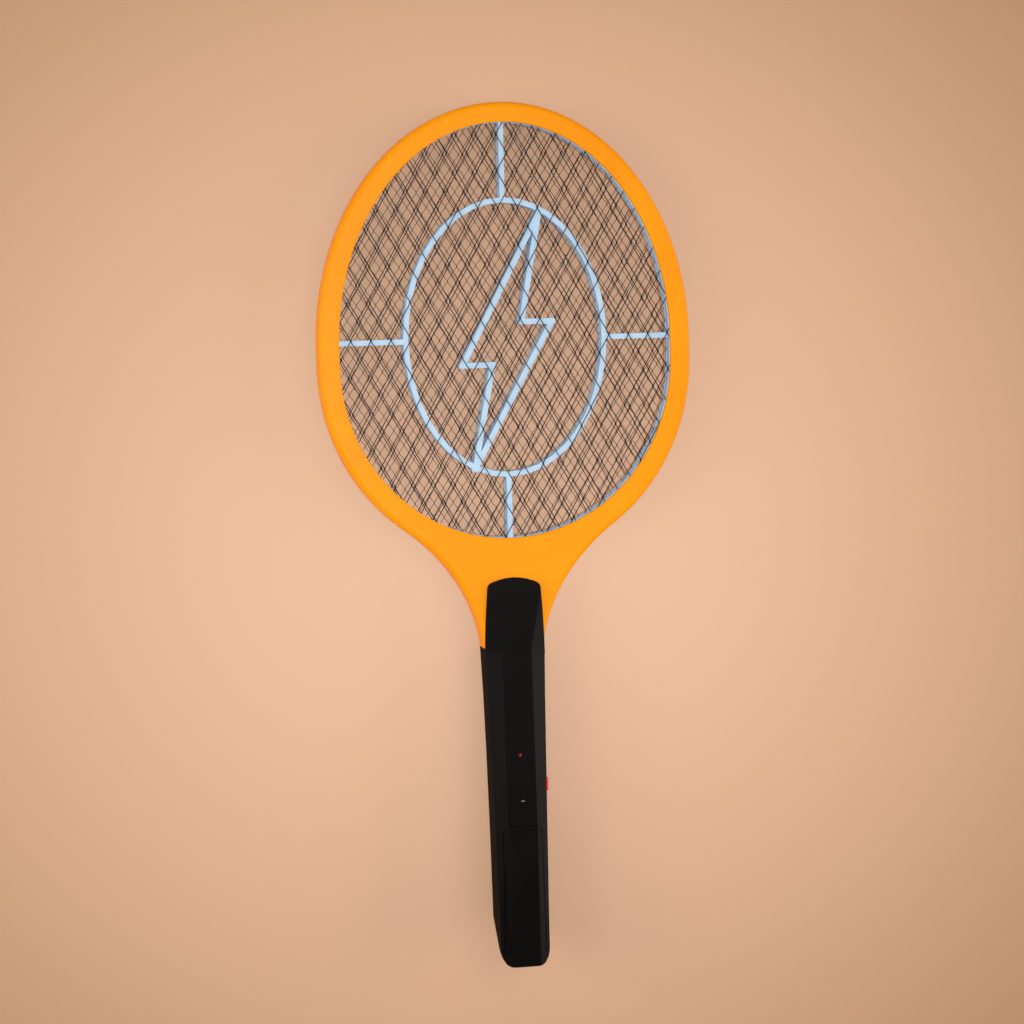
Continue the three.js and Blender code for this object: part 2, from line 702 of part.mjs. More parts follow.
function lamp() {
  const face = gripTop(LAMP.y);
  const base = face - 6;
  const profile = [
    [0, base], [LAMP.flange, base], [LAMP.flange, base + 1], [LAMP.radius, base + 1],
    [LAMP.radius, face - 0.6], [LAMP.radius * 0.8, face + 0.1], [LAMP.radius * 0.4,
      face + LAMP.proud - 0.1], [0, face + LAMP.proud],
  ];
  const legs = [-1.27, 1.27].map((dx) =>
    box(span(dx, 0.5), span(LAMP.y, 0.5), [SEAT, base + 0.5]));
  return join(solid(lathe(profile, 12).translate(0, LAMP.y, 0)), ...legs);
}

// Height of the grip's front flat at a place along it.
function gripTop(y) {
  const i = GRIP.findIndex((station) => station.y < y);
  const [a, b] = [GRIP[i - 1], GRIP[i]];
  return THREE.MathUtils.mapLinear(y, a.y, b.y, a.top, b.top);
}

function gripHalf(y) {
  const i = GRIP.findIndex((station) => station.y < y);
  const [a, b] = [GRIP[i - 1], GRIP[i]];
  return THREE.MathUtils.mapLinear(y, a.y, b.y, a.half, b.half);
}

function pushSwitch() {
  const { x, width, length, height } = SWITCH;
  const y = span(BUTTON.y, length);
  const z = [SEAT, SEAT + height];
  const stem = span(BUTTON.y, 3);
  const stemZ = [BUTTON.z - 1.2, SEAT + height - 0.8];
  const room = box([x + 0.8, x + width + 1], span(BUTTON.y, 3 + 2 * GAP),
    [stemZ[0] - GAP, stemZ[1] + GAP]);
  const stemEnd = gripHalf(BUTTON.y) - GRIP_WALL - GAP - BUTTON.flange - GAP;
  piece('switch_body', cut(box([x, x + width], y, z), room), 'ferrite');
  piece('switch_plunger', boxShape([x + 2.6, stemEnd], stem, stemZ), 'beige');
}

function buttonCap() {
  const side = gripHalf(BUTTON.y);
  const inner = side - GRIP_WALL - GAP;
  const y = span(BUTTON.y, BUTTON.length);
  const z = span(BUTTON.z, BUTTON.height);
  const flange = box([inner - BUTTON.flange, inner], span(BUTTON.y, BUTTON.length + 2),
    span(BUTTON.z, BUTTON.height + 2));
  return join(flange, box([inner - 0.5, side + BUTTON.proud], y, z));
}

function circuit() {
  const { half, from, to, bottom, top } = BOARD;
  piece('circuit_board', boxShape([-half, half], [from, to], [bottom, top]), 'board');
  const { core, coil } = transformer();
  piece('transformer_core', core, 'ferrite');
  piece('transformer_winding', coil, 'copper');
  [-1, 1].forEach((side, i) => {
    const x = span(side * 4.5, 5);
    piece(`film_capacitor_${i + 1}`, boxShape(x, [-115, -104], [SEAT, SEAT + 9]), 'red');
  });
  [-122, -126.2, -130.4].forEach((y, i) => {
    piece(`rectifier_diode_${i + 1}`, axialPart(-4.4, y, 1.35, 5), 'ferrite');
  });
  [-122, -126.2].forEach((y, i) => {
    piece(`resistor_${i + 1}`, axialPart(4.4, y, 1.15, 5.6), 'beige');
  });
  piece('transistor', transistor(-3.5, -137.5), 'black');
  piece('indicator_lamp', lamp(), 'red');
}

function leads() {
  const z = HEAD_MID;
  const down = SEAT + 0.9;
  const run = (x, start, startZ) => [
    [x, start, startZ], [x, -22, (startZ + z) / 2], [x * 0.7, -42, z],
    [x * 0.6, -66, z], [x * 0.6, -77, z + 1.5], [x * 0.6, -82.5, down], [x * 0.6, -88.5, down],
  ];
  const outer = OUTER_GRID_AT;
  piece('lead_front_grid', tube(run(TAB_X.front, -9.8, z + outer - 1.4), 0.6, 16), 'black');
  piece('lead_rear_grid', tube(run(TAB_X.rear, -9.8, z - outer + 1.4), 0.6, 16), 'black');
  const charged = [
    [0, -9.8, z], [-1.6, -22, z], [-7, -42, z - 1.4], [-7, -66, z - 1.4],
    [-7.2, -77, z + 1.2], [-7.2, -82.5, down], [-7.2, -88.5, down],
  ];
  piece('lead_charged_grid', tube(charged, 0.6, 16), 'red');
  [['lead_battery_positive', -8.6, 'red'], ['lead_battery_negative', 8.6, 'black']]
    .forEach(([name, x, look]) => {
      const side = Math.sign(x);
      const points = [
        [x, BAY.top - GAP + 0.6, 17.2], [x, -151, 17], [side * 7.6, -146, 15.5],
        [side * 7.2, -141.5, down],
      ];
      piece(name, tube(points, 0.6, 8), look);
    });
}

function screws() {
  headScrews.forEach(([x, y], i) => {
    piece(`head_screw_${i + 1}`, screw(x, y, 14.9), 'nickel');
  });
  GRIP_SCREWS.forEach(({ y, tip }, i) => {
    piece(`grip_screw_${i + 1}`, screw(0, y, tip), 'nickel');
  });
}

piece('front_frame', frame(1), 'orange');
piece('rear_frame', frame(-1), 'orange');
piece('front_grid', grid(level(1, OUTER_GRID_AT), COARSE, TAB_X.front), 'steel');
piece('centre_grid', grid(HEAD_MID, FINE, TAB_X.centre), 'steel');
piece('rear_grid', grid(level(-1, OUTER_GRID_AT), COARSE, TAB_X.rear), 'steel');
piece('front_spacer', spacer(1), 'blue');
piece('rear_spacer', spacer(-1), 'blue');
piece('handle_front', handleFront(), 'black');
piece('handle_rear', handleRear(), 'black');
piece('battery_door', batteryDoor(), 'black');
piece('button_cap', buttonCap(), 'red');
pushSwitch();
batteries();
contactPlates();
circuit();
leads();
screws();

export default swatter;
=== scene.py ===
"""Visual model of an electric fly swatter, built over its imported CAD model.

The swatter lies on its back: +Y runs from the grip to the tip of the head and +Z is the
front face. Blender works in metres; the sizes below are in millimetres and become metres
where a mesh is made.
"""
import json
import math

import bmesh
import bpy
from mathutils import Matrix, Vector


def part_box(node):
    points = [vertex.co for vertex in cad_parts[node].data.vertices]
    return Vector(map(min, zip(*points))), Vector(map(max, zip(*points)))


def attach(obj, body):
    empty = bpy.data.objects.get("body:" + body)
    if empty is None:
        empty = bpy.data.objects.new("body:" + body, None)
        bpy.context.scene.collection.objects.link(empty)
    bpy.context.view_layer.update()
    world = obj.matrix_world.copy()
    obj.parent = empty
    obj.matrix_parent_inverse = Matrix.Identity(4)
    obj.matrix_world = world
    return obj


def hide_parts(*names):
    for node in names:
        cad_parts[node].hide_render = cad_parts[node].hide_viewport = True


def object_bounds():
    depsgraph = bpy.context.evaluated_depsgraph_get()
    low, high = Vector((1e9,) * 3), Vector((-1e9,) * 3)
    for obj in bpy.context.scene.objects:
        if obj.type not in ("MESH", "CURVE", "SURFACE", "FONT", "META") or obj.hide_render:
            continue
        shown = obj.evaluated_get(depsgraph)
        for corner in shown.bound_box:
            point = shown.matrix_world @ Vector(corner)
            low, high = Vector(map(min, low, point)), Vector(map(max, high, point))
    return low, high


MM = 0.001

# Head: two half ellipses joined by a short straight, for the rim and for its opening.
TIP = 232.0
RIM = {"half": 101.1, "upper": 127.5, "lower": 107.7}
OPENING = {"half": 90.1, "upper": 116.8, "lower": 94.4}
HEAD_STRAIGHT = 10.7
UPPER_Y = TIP - RIM["upper"]
LOWER_Y = UPPER_Y - HEAD_STRAIGHT
HEAD_DEPTH = 18.0
HALF_GAP = 0.15
WALL = 2.2
LIP = 2.3
LIP_ROUND = 0.7
EDGE_ROUND = 3.0
SEAM_ROUND = 0.35
POCKET = 2.5
RIB_OUT = 4.0
STEPS = {"upper": 64, "lower": 32, "flare": 24, "neck": 6, "round": 7, "rod": 40, "print": 32}

# Screws of the head. The bore and its wider head end, and the boss round them, are radii; the
# bore starts at a height and ends past the middle plane, and the head's hole is so deep.
HEAD_SCREWS = 8
SCREW_HOLE = {"bore": 1.4, "start": 2.0, "past_middle": 3.0, "head": 2.4, "depth": 2.9}
BOSS = 2.6
CUT_PAST = 1.0  # how far a cutter runs on past a face

# Throat: the concave flares from the head down to the neck.
NECK = {"half": 16.3, "y": -60.0}
FLARE_ANGLE = 0.97
FLARE_PULL = {"head": 22.0, "neck": 30.0}
FLARE_LEAN = 0.12  # how far the curve leans out of the neck, as a part of its pull there
SPIGOT = {"half": 10.5, "end": -78.0, "top": 17.6, "bottom": 2.6, "overlap": 3.0}
SPIGOT_ROOT = {"start": 0.5, "end": 6.0, "inset": 1.0}  # block that ties a spigot to its shell
PIN_HOLE = 1.7  # radius, for the grip screw that passes through both spigots
CHANNEL = {"half": 8.0, "reach": 4.0, "into_head": 12.0}

# Grids: diamond cells of expanded metal.
GRID_REACH = 2.1
COARSE = {"width": 10.8, "height": 19.6, "strand": 0.52, "thick": 0.5, "knot": 1.5}
FINE = {"width": 5.2, "height": 7.9, "strand": 0.29, "thick": 0.4, "knot": 0.9}

BAR = {"shortest": 0.05, "top": 0.6}  # top: width of a bar's upper face as a part of its lower
HALVINGS = 14  # steps in the search for where a strand crosses the opening's edge
TAB = {"x": {"front_grid": -6.4, "centre_grid": 0, "rear_grid": 6.4}, "half": 1.5, "end": -1.1}

# Grip: two points (y, z) on the line of its front flat, and the mark printed on that flat.
GRIP_FLAT = ((-120.0, 27.4), (-158.0, 29.2))
PRINTED_MARK = {"x": 0.5, "y": -142.0, "half": (1.15, 0.38), "lift": 0.03,
                "sink": 0.1}

# Edges: degrees, and the distance in millimetres under which vertices are one.
SHARP_ANGLE = 38
MOULDING = {"merge": 0.002, "flat": 0.4, "corner": 30, "segments": 3}
FLAT_WEIGHT = 90

# Noise of the materials: scale and detail.
NOISE = {"flow": (28, 4), "gloss": (70, 5), "streaks": (1400, 4), "tarnish": (160, 5),
         "floor": (60, 3)}
GRAIN_DETAIL = 2
NOISE_RANGE = (0.3, 0.7)  # where most of a noise texture's values lie

# Floor, in metres and, for its bumps, millimetres. Its colour fades darker with the distance: a
# painted falloff of light, as if a pool of light lay under the swatter.
FLOOR = {"size": 12, "gap": 0.0002, "roughness": 0.85, "specular": 0.2, "bump": 0.2}
FLOOR_PAINTED_FALLOFF = [(0.05, (0.82, 0.512, 0.345)), (0.27, (0.715, 0.433, 0.275)),
              (0.42, (0.635, 0.37, 0.213))]

# Camera: above the swatter, turned a little to the left of it.
CAMERA = {"yaw": 11.04, "pitch": 4.56, "roll": 1.42, "distance": 1.451, "lens": 93.74,
          "aim": (0.00354, 0.01196), "sensor": 36}

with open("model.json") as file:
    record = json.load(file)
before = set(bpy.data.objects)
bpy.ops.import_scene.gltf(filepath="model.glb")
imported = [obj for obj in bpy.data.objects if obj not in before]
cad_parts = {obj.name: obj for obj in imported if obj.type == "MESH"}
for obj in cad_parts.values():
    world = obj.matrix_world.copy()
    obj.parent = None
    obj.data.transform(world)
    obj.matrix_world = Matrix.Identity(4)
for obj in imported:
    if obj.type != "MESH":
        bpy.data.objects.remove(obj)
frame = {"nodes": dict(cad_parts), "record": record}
cad_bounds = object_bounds()
body_of = {node: body for body, nodes in frame["record"]["behaviour"]["bodies"].items()
           for node in nodes}


# ---- mesh helpers ----

def new_piece(name, bm):
    """An object made from a bmesh, which is freed."""
    mesh = bpy.data.meshes.new(name)
    bmesh.ops.recalc_face_normals(bm, faces=bm.faces)
    bm.to_mesh(mesh)
    bm.free()
    piece = bpy.data.objects.new(name, mesh)
    bpy.context.scene.collection.objects.link(piece)
    return piece


def smooth(piece):
    piece.data.shade_smooth()
    piece.data.set_sharp_from_angle(angle=math.radians(SHARP_ANGLE))


def weight_normals(piece):
    modifier = piece.modifiers.new("flat faces stay flat", "WEIGHTED_NORMAL")
    modifier.keep_sharp = True
    modifier.weight = FLAT_WEIGHT


def stand_for(piece, node):
    """Lets a piece take a CAD node's place, on that node's body."""
    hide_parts(node)
    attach(piece, body_of[node])
    return piece


def moulded(node, edge):
    """A CAD node's own shape with its edges rounded off by a moulding radius."""
    bm = bmesh.new()
    bm.from_mesh(frame["nodes"][node].data)
    bmesh.ops.remove_doubles(bm, verts=bm.verts, dist=MOULDING["merge"] * MM)
    bmesh.ops.dissolve_limit(
        bm, angle_limit=math.radians(MOULDING["flat"]), verts=bm.verts, edges=bm.edges)
    piece = new_piece(node + "_moulded", bm)
    bevel = piece.modifiers.new("moulding radius", "BEVEL")
    bevel.width = edge * MM
    bevel.segments = MOULDING["segments"]
    bevel.limit_method = "ANGLE"
    bevel.angle_limit = math.radians(MOULDING["corner"])
    smooth(piece)
    weight_normals(piece)
    return stand_for(piece, node)


def add_box(bm, low, high):
    scale = [(b - a) * MM for a, b in zip(low, high)]
    middle = [(a + b) / 2 for a, b in zip(low, high)]
    matrix = Matrix.Translation(Vector(middle) * MM) @ Matrix.Diagonal(scale + [1])
    bmesh.ops.create_cube(bm, size=1, matrix=matrix)


def add_rod(bm, radius, x, y, low, high):
    place = Matrix.Translation(Vector((x, y, (low + high) / 2)) * MM)
    bmesh.ops.create_cone(
        bm, cap_ends=True, segments=STEPS["rod"], radius1=radius * MM, radius2=radius * MM,
        depth=(high - low) * MM, matrix=place)


# ---- outlines of the head, right half, from the tip round to the throat ----

def spread(start, end, steps):
    """Evenly spaced values from start to end, both included."""
    return [start + (end - start) * i / steps for i in range(steps + 1)]


def arc(size, centre, start, end, steps, height):
    """Part of an ellipse round (0, centre), between two angles in radians."""
    return [Vector((size["half"] * math.cos(a), centre + size[height] * math.sin(a)))
            for a in spread(start, end, steps)]


def flare():
    """The right flare, from the head down to the neck."""
    start = Vector((RIM["half"] * math.cos(FLARE_ANGLE),
                    LOWER_Y - RIM["lower"] * math.sin(FLARE_ANGLE)))
    along = Vector((RIM["half"] * math.sin(FLARE_ANGLE),
                    RIM["lower"] * math.cos(FLARE_ANGLE))).normalized()
    neck = Vector((NECK["half"], NECK["y"]))
    pull = FLARE_PULL["neck"]
    controls = [start, start - along * FLARE_PULL["head"],
                neck + Vector((FLARE_LEAN * pull, pull)), neck]
    points = []
    for t in spread(0, 1, STEPS["flare"]):
        weights = [(1 - t) ** 3, 3 * t * (1 - t) ** 2, 3 * t * t * (1 - t), t ** 3]
        points.append(sum((c * w for c, w in zip(controls, weights)), Vector((0, 0))))
    return points


def offset(points, distance):
    """Moves an open outline to its right-hand side; its first point stays on the middle line."""
    moved = []
    for i, point in enumerate(points):
        along = points[min(i + 1, len(points) - 1)] - points[max(i - 1, 0)]
        side = Vector((along.y, -along.x)).normalized()
        moved.append(point + side * distance)
    moved[0] = Vector((0, points[0].y - distance))
    return moved


def half_rim(inset, neck_wall=0.0):
    """The head's outer outline, moved in by inset, and closed neck_wall above the neck's end."""
    outline = (
        arc(RIM, UPPER_Y, math.pi / 2, 0, STEPS["upper"], "upper")
        + arc(RIM, LOWER_Y, 0, -FLARE_ANGLE, STEPS["lower"], "lower")
        + flare()[1:]
    )
    moved = offset(outline, inset)
    corner = Vector((moved[-1].x, NECK["y"] + neck_wall))
    moved[-1] = corner
    return moved + [Vector((x, corner.y)) for x in spread(corner.x, 0, STEPS["neck"])[1:]]


def half_opening(grow):
    """The opening's outline, moved out by grow, with as many points as half_rim has."""
    rest = STEPS["flare"] + STEPS["neck"]
    outline = (
        arc(OPENING, UPPER_Y, math.pi / 2, 0, STEPS["upper"], "upper")
        + arc(OPENING, LOWER_Y, 0, -FLARE_ANGLE, STEPS["lower"], "lower")
        + arc(OPENING, LOWER_Y, -FLARE_ANGLE, -math.pi / 2, rest, "lower")[1:]
    )
    moved = offset(outline, -grow)
    moved[-1] = Vector((0, outline[-1].y - grow))
    return moved


def closed(half):
    """A whole outline from its right half."""
    left = [Vector((-p.x, p.y)) for p in half[1:-1]]
    return half + left[::-1]


# ---- head frames ----

def frame_profile():
    """The frame's section as rows of outline points with a height, for the front half."""
    top = HEAD_DEPTH
    under = top - LIP
    middle = top / 2 + HALF_GAP
    turns = spread(0, math.pi / 2, STEPS["round"])
    rows = [(half_opening(0), under)]
    rows += [(half_opening(LIP_ROUND * (1 - math.cos(a))), top - LIP_ROUND * (1 - math.sin(a)))
             for a in turns]
    rows += [(half_rim(EDGE_ROUND * (1 - math.sin(a))), top - EDGE_ROUND * (1 - math.cos(a)))
             for a in turns]
    rows += [(half_rim(SEAM_ROUND * (1 - math.cos(a))), middle + SEAM_ROUND * (1 - math.sin(a)))
             for a in turns[::2]]
    rows += [
        (half_rim(WALL, WALL), middle), (half_rim(WALL, WALL), under),
        (half_opening(RIB_OUT), under), (half_opening(RIB_OUT), middle),
        (half_opening(POCKET), middle), (half_opening(POCKET), under),
    ]
    return rows


def swept(rows, to_height):
    """A closed body from rings of equal length, each joined to the next, the last to the first."""
    bm = bmesh.new()
    rings = [[bm.verts.new((p.x * MM, p.y * MM, to_height(z) * MM)) for p in closed(half)]
             for half, z in rows]
    for ring, following in zip(rings, rings[1:] + rings[:1]):
        for i, vertex in enumerate(ring):
            j = (i + 1) % len(ring)
            bm.faces.new((vertex, ring[j], following[j], following[i]))
    return bm


def screw_places():
    boxes = [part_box(f"head_screw_{i}") for i in range(1, HEAD_SCREWS + 1)]
    return [((low + high) / 2) / MM for low, high in boxes]


def frame_cutter(side):
    """What is cut out of a frame: the leads' channel, the pin hole and, behind, the screw holes."""
    bm = bmesh.new()
    middle = HEAD_DEPTH / 2
    reach = CHANNEL["reach"]
    add_box(bm, (-CHANNEL["half"], SPIGOT["end"] - CUT_PAST, middle - reach),
            (CHANNEL["half"], NECK["y"] + CHANNEL["into_head"], middle + reach))
    low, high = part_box("grip_screw_1")
    add_rod(bm, PIN_HOLE, 0, (low.y + high.y) / 2 / MM, -CUT_PAST, HEAD_DEPTH + CUT_PAST)
    if side < 0:
        for place in screw_places():
            add_rod(bm, SCREW_HOLE["bore"], place.x, place.y,
                    SCREW_HOLE["start"], middle + SCREW_HOLE["past_middle"])
            add_rod(bm, SCREW_HOLE["head"], place.x, place.y, -CUT_PAST, SCREW_HOLE["depth"])
    piece = new_piece(f"cutter_{'front' if side > 0 else 'rear'}", bm)
    piece.hide_render = True
    return piece


def head_frame(node, side):
    """One half of the head with its spigot and screw bosses; side is 1 in front, -1 behind."""
    bm = swept(frame_profile(), lambda z: z if side > 0 else HEAD_DEPTH - z)
    middle = HEAD_DEPTH / 2
    heights = sorted([middle + side * HALF_GAP, SPIGOT["top" if side > 0 else "bottom"]])
    add_box(bm, (-SPIGOT["half"], SPIGOT["end"], heights[0]),
            (SPIGOT["half"], NECK["y"] + SPIGOT["overlap"], heights[1]))
    inset = SPIGOT_ROOT["inset"]
    root = sorted([middle + side * inset, middle + side * (middle - inset)])
    add_box(bm, (-SPIGOT["half"], NECK["y"] + SPIGOT_ROOT["start"], root[0]),
            (SPIGOT["half"], NECK["y"] + SPIGOT_ROOT["end"], root[1]))
    for place in screw_places():
        ends = sorted([middle + side * HALF_GAP, middle + side * (middle - LIP / 2)])
        add_rod(bm, BOSS, place.x, place.y, *ends)
    piece = new_piece(node + "_shell", bm)
    cutter = frame_cutter(side)
    cut = piece.modifiers.new("holes", "BOOLEAN")
    cut.object = cutter
    cut.solver = "EXACT"
    cut.use_self = True
    bpy.context.view_layer.update()
    result = bpy.data.meshes.new_from_object(
        piece.evaluated_get(bpy.context.evaluated_depsgraph_get()))
    piece.modifiers.clear()
    piece.data = result
    bpy.data.objects.remove(cutter)
    smooth(piece)
    weight_normals(piece)
    return stand_for(piece, node)


# ---- grids ----

def inside_opening(x, y):
    if LOWER_Y <= y <= UPPER_Y:
        return abs(x) <= OPENING["half"] + GRID_REACH
    centre, height = (UPPER_Y, "upper") if y > UPPER_Y else (LOWER_Y, "lower")
    across = x / (OPENING["half"] + GRID_REACH)
    along = (y - centre) / (OPENING[height] + GRID_REACH)
    return across * across + along * along <= 1


def clipped(a, b):
    """The part of a strand from a to b that lies over the opening, or None."""
    if inside_opening(*a) and inside_opening(*b):
        return a, b
    if not inside_opening(*a) and not inside_opening(*b):
        return None
    kept, lost = (a, b) if inside_opening(*a) else (b, a)
    low, high = 0.0, 1.0
    for _ in range(HALVINGS):
        t = (low + high) / 2
        low, high = (t, high) if inside_opening(*kept.lerp(lost, t)) else (low, t)
    end = kept.lerp(lost, low)
    return (kept, end) if kept is a else (end, kept)


def strand_path(mesh, column, bottom, rows):
    """Corners of one strand of expanded metal, which meets its two neighbours by turns."""
    width, height, strand, knot = (mesh[k] for k in ("width", "height", "strand", "knot"))
    points = []
    for row in range(rows):
        side = 1 if (row + column) % 2 else -1
        x = column * width / 2 + side * (width / 4 - strand / 2)
        y = bottom + row * height / 2
        points += [Vector((x, y - knot / 2)), Vector((x, y + knot / 2))]
    return points


def add_bar(bm, a, b, z, mesh):
    """One straight run of a strand, four-sided, with a narrower upper face."""
    along = b - a
    if along.length < BAR["shortest"]:
        return
    side = Vector((along.y, -along.x)).normalized() * mesh["strand"] / 2
    top, bottom = z + mesh["thick"] / 2, z - mesh["thick"] / 2
    rings = []
    for point in (a, b):
        corners = [(point - side, bottom), (point + side, bottom),
                   (point + side * BAR["top"], top), (point - side * BAR["top"], top)]
        rings.append([bm.verts.new((p.x * MM, p.y * MM, h * MM)) for p, h in corners])
    first, second = rings
    for i in range(4):
        j = (i + 1) % 4
        bm.faces.new((first[i], first[j], second[j], second[i]))
    bm.faces.new(first[::-1])
    bm.faces.new(second)


def expanded_grid(node, mesh):
    """A grid of expanded metal cut to the opening, with its tab towards the grip."""
    low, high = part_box(node)
    z = (low.z + high.z) / 2 / MM
    bottom = LOWER_Y - OPENING["lower"] - mesh["height"]
    rows = int(2 * (TIP - bottom) / mesh["height"]) + 2
    columns = int(2 * (OPENING["half"] + GRID_REACH) / mesh["width"]) + 1
    bm = bmesh.new()
    for column in range(-columns, columns + 1):
        path = strand_path(mesh, column, bottom, rows)
        for a, b in zip(path, path[1:]):
            run = clipped(a, b)
            if run:
                add_bar(bm, *run, z, mesh)
    add_box(bm, (TAB["x"][node] - TAB["half"], low.y / MM, z - mesh["thick"] / 2),
            (TAB["x"][node] + TAB["half"], TAB["end"], z + mesh["thick"] / 2))
    return stand_for(new_piece(node + "_mesh", bm), node)


# ---- printed mark on the grip ----

def printed_mark():
    """A plain pad-printed oval that lies on the front flat of the grip."""
    start, end = GRIP_FLAT
    slope = (end[1] - start[1]) / (end[0] - start[0])
    bm = bmesh.new()
    ring = []
    for i in range(STEPS["print"]):
        angle = 2 * math.pi * i / STEPS["print"]
        x = PRINTED_MARK["x"] + PRINTED_MARK["half"][0] * math.cos(angle)
        y = PRINTED_MARK["y"] + PRINTED_MARK["half"][1] * math.sin(angle)
        z = start[1] + slope * (y - start[0])
        ring.append((x, y, z))
    top = [bm.verts.new((x * MM, y * MM, (z + PRINTED_MARK["lift"]) * MM)) for x, y, z in ring]
    base = [bm.verts.new((x * MM, y * MM, (z - PRINTED_MARK["sink"]) * MM)) for x, y, z in ring]
    bm.faces.new(top)
    bm.faces.new(base[::-1])
    for i in range(STEPS["print"]):
        j = (i + 1) % STEPS["print"]
        bm.faces.new((base[i], base[j], top[j], top[i]))
    piece = new_piece("printed_mark", bm)
    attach(piece, "swatter")
    return piece


# ---- materials ----

def shader(name, **values):
    material = bpy.data.materials.new(name)
    material.use_nodes = True
    principled = material.node_tree.nodes["Principled BSDF"]
    for socket, value in values.items():
        principled.inputs[socket.replace("_", " ")].default_value = value
    return material, principled


def noise(material, scale, detail, stretch=None):
    nodes, links = material.node_tree.nodes, material.node_tree.links
    texture = nodes.new("ShaderNodeTexNoise")
    texture.inputs["Scale"].default_value = scale
    texture.inputs["Detail"].default_value = detail
    where = nodes.new("ShaderNodeTexCoord").outputs["Object"]
    if stretch:
        mapping = nodes.new("ShaderNodeMapping")
        mapping.inputs["Scale"].default_value = stretch
        links.new(where, mapping.inputs["Vector"])
        where = mapping.outputs["Vector"]
    links.new(where, texture.inputs["Vector"])
    return texture.outputs["Fac"]


def distance_out(material):
    """How far a point is from the object's origin, in metres."""
    nodes, links = material.node_tree.nodes, material.node_tree.links
    length = nodes.new("ShaderNodeVectorMath")
    length.operation = "LENGTH"
    links.new(nodes.new("ShaderNodeTexCoord").outputs["Object"], length.inputs[0])
    return length.outputs["Value"]


def ramp(material, factor, stops):
    node = material.node_tree.nodes.new("ShaderNodeValToRGB")
    elements = node.color_ramp.elements
    for element, (position, colour) in zip(elements, (stops[0], stops[-1])):
        element.position = position
        element.color = (*colour, 1)
    for position, colour in stops[1:-1]:
        elements.new(position).color = (*colour, 1)
    material.node_tree.links.new(factor, node.inputs["Fac"])
    return node.outputs["Color"]


def spread_values(material, factor, low, high):
    """Maps a noise texture's usual values onto the range from low to high."""
    node = material.node_tree.nodes.new("ShaderNodeMapRange")
    node.inputs["From Min"].default_value = NOISE_RANGE[0]
    node.inputs["From Max"].default_value = NOISE_RANGE[1]
    node.inputs["To Min"].default_value = low
    node.inputs["To Max"].default_value = high
    material.node_tree.links.new(factor, node.inputs["Value"])
    return node.outputs["Result"]


def bumps(material, principled, height, depth):
    node = material.node_tree.nodes.new("ShaderNodeBump")
    node.inputs["Distance"].default_value = depth * MM
    links = material.node_tree.links
    links.new(height, node.inputs["Height"])
    links.new(node.outputs["Normal"], principled.inputs["Normal"])


def plastic(name, colour, shade, roughness, grain=900, depth=0.02, **values):
    """Moulded plastic: flow marks in its colour, uneven gloss and a fine moulded grain."""
    material, principled = shader(name, **values)
    links = material.node_tree.links
    flow = noise(material, *NOISE["flow"])
    links.new(ramp(material, flow, [(0.35, shade), (0.65, colour)]),
              principled.inputs["Base Color"])
    links.new(spread_values(material, noise(material, *NOISE["gloss"]), *roughness),
              principled.inputs["Roughness"])
    bumps(material, principled, noise(material, grain, GRAIN_DETAIL), depth)
    return material


def metal(name, colour, shade, roughness, stretch=(1, 1, 1), depth=0.01, metallic=1.0):
    """Drawn or stamped metal: streaks along its working direction and a dull patchy tarnish."""
    material, principled = shader(name, Metallic=metallic)
    links = material.node_tree.links
    streaks = noise(material, *NOISE["streaks"], stretch)
    tarnish = noise(material, *NOISE["tarnish"])
    links.new(ramp(material, tarnish, [(0.35, shade), (0.62, colour)]),
              principled.inputs["Base Color"])
    links.new(spread_values(material, streaks, *roughness), principled.inputs["Roughness"])
    bumps(material, principled, streaks, depth)
    return material


